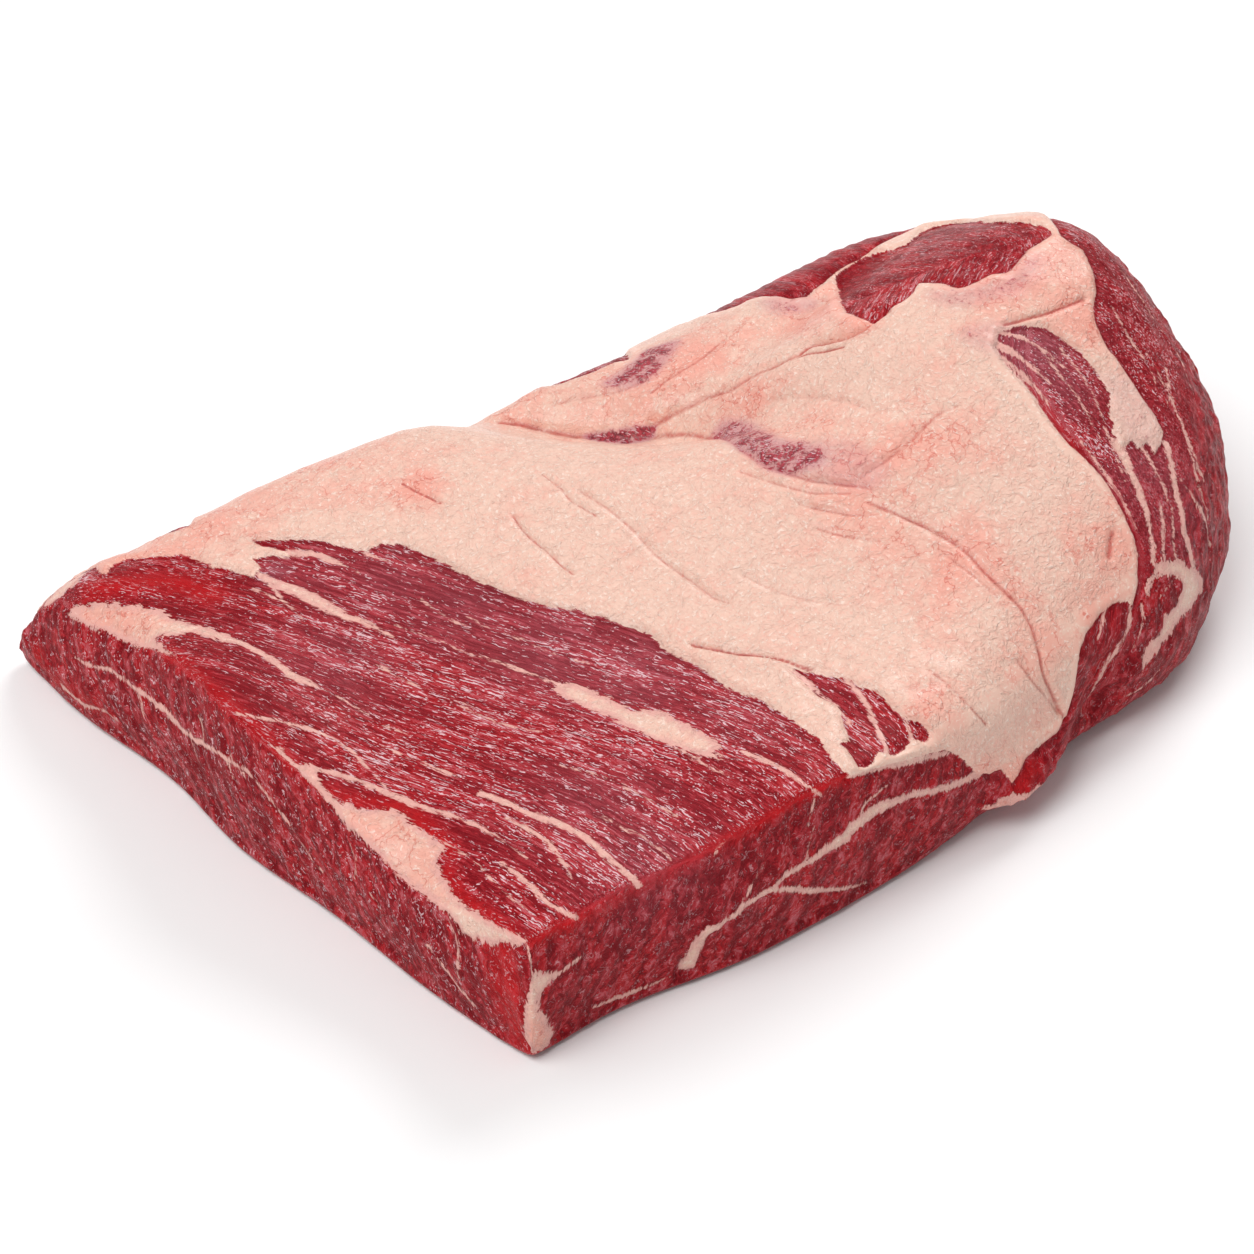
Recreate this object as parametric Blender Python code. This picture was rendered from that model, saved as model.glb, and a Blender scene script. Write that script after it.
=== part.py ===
"""Whole raw beef brisket, lying fat side up, as one solid.

+X runs from the straight cut through the thin end (the flat) to the rounded
thick end (the point), +Y runs across to the side with the rounded-off edge,
and the underside rests on Z = 0.  The origin is the bottom centre of the
bounding box.  Everything is in metres.

The surface starts as a box whose edges are cut into a grid.  Each grid point
is then moved: its place in plan comes from four side curves, and its height
from the thickness of the meat there, rounded off towards the edges.
"""

import math

import bmesh
import bpy
import numpy as np
from mathutils import Vector

# Grid of the box, in cells along the length, the width and the height.
CELLS_LONG = 58
CELLS_WIDE = 44
CELLS_HIGH = 8
ROUNDING_CELLS = 5

# How much nearer the second diagonal of a cell has to run to be the one cut.
LEAST_GAIN = 0.05

# Plan of the meat at its widest, one curve for each side.
NEAR_SIDE = (
    (-0.195, -0.136),
    (-0.155, -0.137),
    (-0.105, -0.148),
    (-0.050, -0.152),
    (0.000, -0.154),
    (0.055, -0.151),
    (0.115, -0.148),
    (0.167, -0.122),
)
FAR_SIDE = (
    (-0.209, 0.159),
    (-0.154, 0.154),
    (-0.078, 0.136),
    (0.016, 0.112),
    (0.090, 0.101),
    (0.145, 0.091),
    (0.181, 0.070),
)
CUT_END = (
    (-0.195, -0.136),
    (-0.201, -0.084),
    (-0.203, -0.034),
    (-0.208, 0.014),
    (-0.205, 0.062),
    (-0.210, 0.112),
    (-0.209, 0.159),
)
POINT_END = (
    (0.167, -0.122),
    (0.196, -0.088),
    (0.209, -0.034),
    (0.211, 0.018),
    (0.202, 0.048),
    (0.181, 0.070),
)

# Thickness where nothing swells or sinks, and how it grows towards the point.
FLAT_THICKNESS = 0.058
THICKENING = 0.030

# What swells (height above 0) or sinks: centre, half lengths along and across,
# turn of the long axis from +X in degrees, height.
SWELLS = {
    "point dome": (0.094, -0.034, 0.080, 0.088, 20, 0.043),
    "dome shoulder": (0.176, -0.020, 0.060, 0.064, 0, 0.038),
    "fat over the flat": (-0.045, 0.040, 0.100, 0.035, -57, 0.009),
    "cut end hump": (-0.204, 0.027, 0.040, 0.045, 0, 0.010),
    "cut end hollow": (-0.204, -0.080, 0.018, 0.030, 0, -0.013),
    "near edge hump": (-0.084, -0.145, 0.035, 0.040, 0, 0.007),
    "far fall of the flat": (-0.145, 0.155, 0.060, 0.045, 0, -0.010),
    "valley behind the flat": (0.007, 0.052, 0.085, 0.013, -57, -0.016),
    "back of the dome": (0.140, 0.062, 0.040, 0.035, 0, 0.005),
    "fold behind the dome": (0.085, 0.040, 0.060, 0.010, 5, -0.006),
}

# The fat lies on the flat with its edge on the line between these two points.
FAT_EDGE_START = (-0.150, 0.120)
FAT_EDGE_END = (-0.022, -0.150)
FAT_STEP = 0.003
FAT_STEP_WIDTH = 0.012

# Radius in plan, share of the thickness and radius underneath of the rounded
# edge, and how far the wall leans in, at the two straight cuts (the cut end
# and the near side), along the far side and round the point.
CUT_EDGE = (0.006, 0.10, 0.005, 0.0)
FAR_EDGE = (0.034, 0.58, 0.006, 0.007)
POINT_EDGE = (0.048, 0.48, 0.020, 0.0)

# Where the rounding of the cuts has turned into that of the point and far side.
POINT_STARTS_X = -0.050
POINT_WHOLE_X = 0.060
FAR_ROUNDING_FROM_Y = 0.030
FAR_ROUNDING_TO_Y = 0.120

# How far the walls stand out halfway up.
WALL_BELLY = 0.0025

# What stands out of the foot of the near side, or is notched into it (less
# than 0): place along X, half length, height, reach.
NEAR_SIDE_BUMPS = {
    "flap": (0.026, 0.020, 0.026, 0.013),
    "notch": (0.067, 0.012, 0.050, -0.006),
}

MEAT_COLOUR = (0.34, 0.035, 0.045, 1.0)
MEAT_ROUGHNESS = 0.42


def smooth_step(value, low, high):
    """0 below low, 1 above high, and an even curve between."""
    share = min(max((value - low) / (high - low), 0.0), 1.0)
    return share * share * (3.0 - 2.0 * share)


def mix(first, second, share):
    return first + (second - first) * share


def curve_point(points, share):
    """The point at a share of the way along a smooth curve through points."""
    reach = share * (len(points) - 1)
    at = min(int(reach), len(points) - 2)
    t = reach - at
    p1 = Vector(points[at])
    p2 = Vector(points[at + 1])
    p0 = Vector(points[at - 1]) if at > 0 else 2.0 * p1 - p2
    p3 = Vector(points[at + 2]) if at + 2 < len(points) else 2.0 * p2 - p1
    return 0.5 * (
        2.0 * p1
        + (p2 - p0) * t
        + (2.0 * p0 - 5.0 * p1 + 4.0 * p2 - p3) * t * t
        + (3.0 * p1 - p0 - 3.0 * p2 + p3) * t * t * t
    )


def plan_point(along, across):
    """The place in plan for shares of the way along and across the meat."""
    near = curve_point(NEAR_SIDE, along)
    far = curve_point(FAR_SIDE, along)
    cut = curve_point(CUT_END, across)
    point = curve_point(POINT_END, across)
    corners = mix(
        mix(Vector(NEAR_SIDE[0]), Vector(NEAR_SIDE[-1]), along),
        mix(Vector(FAR_SIDE[0]), Vector(FAR_SIDE[-1]), along),
        across,
    )
    return mix(near, far, across) + mix(cut, point, along) - corners


def swell(x, y, shape):
    centre_x, centre_y, half_long, half_wide, turn, height = shape
    angle = math.radians(turn)
    u = (x - centre_x) * math.cos(angle) + (y - centre_y) * math.sin(angle)
    v = (y - centre_y) * math.cos(angle) - (x - centre_x) * math.sin(angle)
    return height * math.exp(-((u / half_long) ** 2) - (v / half_wide) ** 2)


def past_fat_edge(x, y):
    """How far a place lies from the edge of the fat, above 0 under the fat."""
    start = Vector(FAT_EDGE_START)
    run = Vector(FAT_EDGE_END) - start
    away = Vector((x, y)) - start
    return (run.x * away.y - run.y * away.x) / run.length


def thickness(x, y):
    """How high the top stands at a place in plan, before its edge is rounded."""
    height = FLAT_THICKNESS + THICKENING * (x + 0.2)
    half = FAT_STEP_WIDTH / 2.0
    height += FAT_STEP * smooth_step(past_fat_edge(x, y), -half, half)
    return height + sum(swell(x, y, shape) for shape in SWELLS.values())


def edge_rounding(x, y):
    """Radius, share of the thickness, lower radius and lean at a place."""
    to_point = smooth_step(x, POINT_STARTS_X, POINT_WHOLE_X)
    to_far = smooth_step(y, FAR_ROUNDING_FROM_Y, FAR_ROUNDING_TO_Y)
    rounding = []
    for cut, far, point in zip(CUT_EDGE, FAR_EDGE, POINT_EDGE):
        rounding.append(mix(mix(cut, far, to_far), point, to_point))
    return rounding


def cell_share(index, cells, radius_share):
    """Share of the way across for one grid line, and its part of the rounding.

    The first and last few lines follow the arc of the rounded edge, from 0
    at the outline to 1 where the surface runs level.
    """
    from_start = min(index, cells - index)
    if from_start >= ROUNDING_CELLS:
        inner = (index - ROUNDING_CELLS) / (cells - 2 * ROUNDING_CELLS)
        return mix(radius_share, 1.0 - radius_share, inner), 1.0
    angle = math.radians(90.0 * from_start / ROUNDING_CELLS)
    share = radius_share * (1.0 - math.cos(angle))
    if index > from_start:
        share = 1.0 - share
    return share, math.sin(angle)


def face_point(i, j, lower):
    """A grid point of the top, or of the underside, as x, y, z."""
    middle = plan_point(i / CELLS_LONG, j / CELLS_WIDE)
    radius, share_high, radius_under, lean = edge_rounding(*middle)
    radius = radius_under if lower else radius
    length = (plan_point(1.0, j / CELLS_WIDE) - plan_point(0.0, j / CELLS_WIDE)).length
    width = (plan_point(i / CELLS_LONG, 1.0) - plan_point(i / CELLS_LONG, 0.0)).length
    along, arc_long = cell_share(i, CELLS_LONG, min(radius / length, 0.3))
    across, arc_wide = cell_share(j, CELLS_WIDE, min(radius / width, 0.3))
    if lower:
        x, y = plan_point(along, across)
        return Vector((x, y, radius_under * (1.0 - arc_long * arc_wide)))
    x, y = plan_point(along, across - lean / width * max(2.0 * across - 1.0, 0.0))
    top = thickness(x, y)
    fall = top * share_high * (1.0 - arc_long * arc_wide)
    return Vector((x, y, top - fall))


def side_reach(x, z):
    """How far the near side stands out at a place along it and above the foot."""
    reach = 0.0
    for centre, half_length, high, out in NEAR_SIDE_BUMPS.values():
        along = math.exp(-(((x - centre) / half_length) ** 4))
        reach += out * along * math.exp(-((z / high) ** 4))
    return reach


def wall_point(i, j, k):
    """A grid point of the walls, which belly out between the rounded edges."""
    share = k / CELLS_HIGH
    low = face_point(i, j, True)
    high = face_point(i, j, False)
    outward = Vector(((i == CELLS_LONG) - (i == 0), (j == CELLS_WIDE) - (j == 0), 0.0))
    belly = WALL_BELLY * (4.0 * share * (1.0 - share)) ** 2
    return mix(low, high, share) + outward.normalized() * belly


def make_box():
    """A closed box of one unit, its edges cut into the grid's cells."""
    mesh = bmesh.new()
    bmesh.ops.create_cube(mesh, size=1.0)
    for axis, cells in enumerate((CELLS_LONG, CELLS_WIDE, CELLS_HIGH)):
        edges = []
        for edge in mesh.edges:
            run = edge.verts[0].co - edge.verts[1].co
            if abs(run[axis]) > 0.5:
                edges.append(edge)
        bmesh.ops.subdivide_edges(mesh, edges=edges, cuts=cells - 1, use_grid_fill=True)
    return mesh


def shape_brisket(mesh):
    for vertex in mesh.verts:
        i = round((vertex.co.x + 0.5) * CELLS_LONG)
        j = round((vertex.co.y + 0.5) * CELLS_WIDE)
        k = round((vertex.co.z + 0.5) * CELLS_HIGH)
        if k in (0, CELLS_HIGH):
            place = face_point(i, j, k == 0)
        else:
            place = wall_point(i, j, k)
        if j == 0:
            place.y -= side_reach(place.x, place.z)
        vertex.co = place


def split_cells(mesh):
    """Cuts each cell into two triangles.

    The cut follows the diagonal that runs more nearly with the edge of the
    fat and the valley behind it, so that both stay smooth.
    """
    run = (Vector(FAT_EDGE_END) - Vector(FAT_EDGE_START)).normalized()
    for face in list(mesh.faces):
        corners = list(face.verts)
        first = corners[2].co - corners[0].co
        second = corners[3].co - corners[1].co
        first_with = abs(first.xy.dot(run)) / first.length
        second_with = abs(second.xy.dot(run)) / second.length
        start = 1 if second_with > first_with + LEAST_GAIN else 0
        bmesh.utils.face_split(face, corners[start], corners[start + 2])


def centre_on_footprint(mesh):
    """Moves the mesh so that its box's bottom centre is the origin."""
    points = np.array([vertex.co for vertex in mesh.verts])
    low = points.min(axis=0)
    high = points.max(axis=0)
    offset = Vector((*(-(low + high)[:2] / 2), -low[2]))
    bmesh.ops.translate(mesh, verts=mesh.verts, vec=offset)


def meat_material():
    material = bpy.data.materials.new("raw beef")
    material.use_nodes = True
    shader = material.node_tree.nodes["Principled BSDF"]
    shader.inputs["Base Color"].default_value = MEAT_COLOUR
    shader.inputs["Roughness"].default_value = MEAT_ROUGHNESS
    shader.inputs["Metallic"].default_value = 0.0
    return material


def main():
    for old in list(bpy.data.objects):
        bpy.data.objects.remove(old)
    mesh = make_box()
    shape_brisket(mesh)
    split_cells(mesh)
    centre_on_footprint(mesh)
    bmesh.ops.recalc_face_normals(mesh, faces=mesh.faces)
    data = bpy.data.meshes.new("brisket")
    mesh.to_mesh(data)
    mesh.free()
    data.shade_smooth()
    data.materials.append(meat_material())
    brisket = bpy.data.objects.new("brisket", data)
    bpy.context.scene.collection.objects.link(brisket)


main()
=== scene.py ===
import math

import bmesh
import bpy
import numpy as np
from bpy.props import FloatProperty, FloatVectorProperty, PointerProperty
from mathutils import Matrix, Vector, noise
from mathutils.bvhtree import BVHTree


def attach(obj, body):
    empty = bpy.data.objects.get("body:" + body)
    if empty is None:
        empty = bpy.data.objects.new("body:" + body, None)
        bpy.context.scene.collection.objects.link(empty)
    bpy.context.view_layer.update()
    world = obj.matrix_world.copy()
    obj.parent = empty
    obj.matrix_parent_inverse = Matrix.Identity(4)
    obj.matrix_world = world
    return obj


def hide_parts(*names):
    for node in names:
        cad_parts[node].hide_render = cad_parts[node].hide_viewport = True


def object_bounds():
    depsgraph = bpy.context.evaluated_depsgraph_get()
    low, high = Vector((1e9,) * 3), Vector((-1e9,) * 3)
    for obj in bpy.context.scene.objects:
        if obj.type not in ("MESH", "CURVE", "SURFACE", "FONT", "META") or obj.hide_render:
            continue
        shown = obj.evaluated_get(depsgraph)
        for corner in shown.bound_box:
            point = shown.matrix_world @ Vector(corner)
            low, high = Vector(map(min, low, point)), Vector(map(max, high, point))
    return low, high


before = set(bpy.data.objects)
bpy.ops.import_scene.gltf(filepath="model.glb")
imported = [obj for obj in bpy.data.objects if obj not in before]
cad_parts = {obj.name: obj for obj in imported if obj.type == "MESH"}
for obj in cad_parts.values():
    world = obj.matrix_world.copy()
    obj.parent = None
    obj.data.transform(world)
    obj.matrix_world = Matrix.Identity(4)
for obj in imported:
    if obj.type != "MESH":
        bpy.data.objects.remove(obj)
CAD_LOW, CAD_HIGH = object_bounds()

bl_info = {
    "name": "Raw beef brisket",
    "version": (1, 0, 0),
    "blender": (4, 5, 0),
    "location": "3D View > Sidebar > Brisket",
    "description": "Builds a whole raw brisket with its fat cap, seams and marbling",
    "category": "Object",
}

MM = 0.001
PER_METRE = 1000.0

# The photograph's frame, and the camera that saw it.
PHOTO_SIDE = 1254.0
SENSOR = 36.0
LENS = 105.0
CAMERA_AZIMUTH = -40.8
CAMERA_ELEVATION = 39.7
CAMERA_DISTANCE = 1.35
CAMERA_TARGET = Vector((-0.054, -0.018, 0.045))
# A ray that misses the meat is searched this far on both sides of that distance.
SEARCH = 0.3
SEARCH_STEPS = 121

# Lines on the meat.  A point of two numbers is a place in the photograph, in
# pixels from its top left; one of three is a place in metres, where the
# photograph doesn't show it.  Each is laid on the nearest surface.
CAP = (
    (83, 561), (93, 563), (99, 570), (106, 571), (110, 562), (125, 556), (150, 553), (172, 552),
    (188, 552), (205, 561), (232, 568), (254, 575), (262, 566), (252, 556), (270, 552), (292, 556),
    (284, 548), (262, 543), (248, 538), (282, 537), (316, 537), (343, 544), (365, 548), (381, 541),
    (401, 541), (424, 551), (447, 563), (487, 583), (533, 601), (581, 609), (615, 620), (645, 629),
    (656, 638), (661, 646), (673, 652), (694, 661), (725, 683), (755, 695), (786, 713), (817, 735),
    (830, 752), (844, 768), (853, 776), (872, 770), (900, 763), (926, 757), (948, 753), (964, 760),
    (980, 776), (994, 776), (1004, 771), (1014, 785), (1021, 776), (1029, 760), (1050, 741),
    (1061, 733), (1071, 715), (1077, 688), (1081, 661), (1088, 634), (1103, 615), (1117, 603),
    (1128, 602), (1136, 607), (1141, 586), (1141, 562), (1136, 535), (1120, 503), (1104, 476),
    (1087, 457), (1071, 444), (1052, 420), (1028, 385), (1006, 362), (996, 345), (1000, 330),
    (1020, 324), (1048, 327), (1077, 346), (1100, 372), (1112, 392), (1111, 410), (1116, 432),
    (1123, 446), (1134, 438), (1141, 446), (1150, 440), (1157, 452), (1164, 442), (1166, 430),
    (1158, 414), (1144, 395), (1130, 373), (1103, 334), (1095, 308), (1098, 287), (1093, 264),
    (1084, 246), (1062, 232), (0.176, 0.0, 0.118), (0.184, 0.028, 0.1), (0.172, 0.054, 0.088),
    (0.152, 0.056, 0.093), (858, 256), (844, 262), (836, 268), (824, 279), (814, 287), (806, 294),
    (790, 296), (764, 293), (747, 297), (733, 304), (0.066, 0.092, 0.066), (0.047, 0.098, 0.06),
    (628, 357), (613, 360), (595, 368), (576, 374), (562, 380), (-0.008, 0.118, 0.04),
    (-0.05, 0.13, 0.036), (-0.09, 0.14, 0.036), (-0.128, 0.149, 0.04), (187, 523), (172, 529),
    (141, 540), (122, 547), (-0.19, 0.157, 0.036), (-0.205, 0.158, 0.03),
)

# Lean that shows inside the fat.
LEAN_WINDOWS = {
    "back of the point": (
        (836, 283), (838, 270), (850, 262), (869, 252), (905, 240), (927, 225), (960, 219),
        (1000, 218), (1031, 219), (1052, 229), (1040, 240), (1028, 247), (1015, 262), (1005, 270),
        (990, 272), (972, 281), (957, 285), (946, 281), (930, 280), (916, 281), (911, 290),
        (897, 300), (881, 308), (868, 317), (850, 311), (841, 303),
    ),
    "end of the fat on the flat": (
        (789, 666), (811, 669), (832, 673), (847, 675), (859, 683), (875, 689), (887, 701),
        (905, 716), (923, 722), (932, 734), (930, 742), (914, 738), (908, 747), (893, 754),
        (880, 749), (875, 762), (869, 767), (860, 765), (853, 753), (846, 745), (838, 741),
        (850, 738), (844, 722), (838, 704), (817, 692), (801, 676),
    ),
}

# Patches of fat beside the cap.
FAT_PATCHES = {
    "sliver at the tip": (
        (38, 604), (46, 592), (56, 580), (72, 571), (84, 568), (74, 580), (60, 590), (48, 600),
    ),
    "left end of the cut": (
        (64, 613), (74, 605), (88, 601), (107, 600), (126, 601), (150, 603), (174, 613),
        (209, 625), (230, 631), (222, 636), (200, 630), (174, 631), (153, 635), (158, 643),
        (175, 655), (150, 649), (126, 643), (107, 633), (88, 627), (72, 620),
    ),
    "strip along the cut": (
        (268, 740), (280, 748), (293, 760), (305, 762), (315, 764), (322, 776), (324, 789),
        (344, 800), (366, 806), (392, 806), (411, 818), (431, 835), (444, 846), (437, 860),
        (443, 877), (454, 894), (482, 916), (504, 930), (525, 941), (507, 947), (484, 945),
        (462, 939), (451, 922), (428, 900), (397, 878), (372, 852), (347, 832), (333, 813),
        (310, 785), (291, 764), (278, 752),
    ),
    "island on the flat": (
        (553, 683), (563, 679), (578, 681), (608, 695), (627, 704), (664, 709), (682, 719),
        (706, 731), (722, 744), (712, 746), (728, 756), (705, 753), (676, 744), (651, 735),
        (611, 714), (572, 699), (560, 690),
    ),
    "corner": (
        (525, 945), (530, 958), (536, 972), (557, 973), (566, 972), (552, 987), (543, 1006),
        (549, 1022), (555, 1037), (543, 1054), (531, 1056), (522, 1040), (520, 1024), (519, 1010),
        (529, 989), (533, 973), (523, 956),
    ),
    "flap": (
        (984, 812), (1000, 803), (1020, 797), (1035, 792), (1045, 786), (1046, 796), (1034, 806),
        (1012, 812), (992, 818),
    ),
    "ring round the oval": (
        (1152, 577), (1158, 566), (1168, 561), (1180, 559), (1190, 562), (1203, 575), (1205, 591),
        (1197, 608), (1184, 620), (1173, 636), (1160, 650), (1150, 666), (1145, 680), (1146, 664),
        (1154, 645), (1164, 633), (1170, 617), (1182, 605), (1187, 590), (1183, 580), (1170, 577),
        (1158, 581), (1151, 598), (1149, 590),
    ),
}

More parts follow.
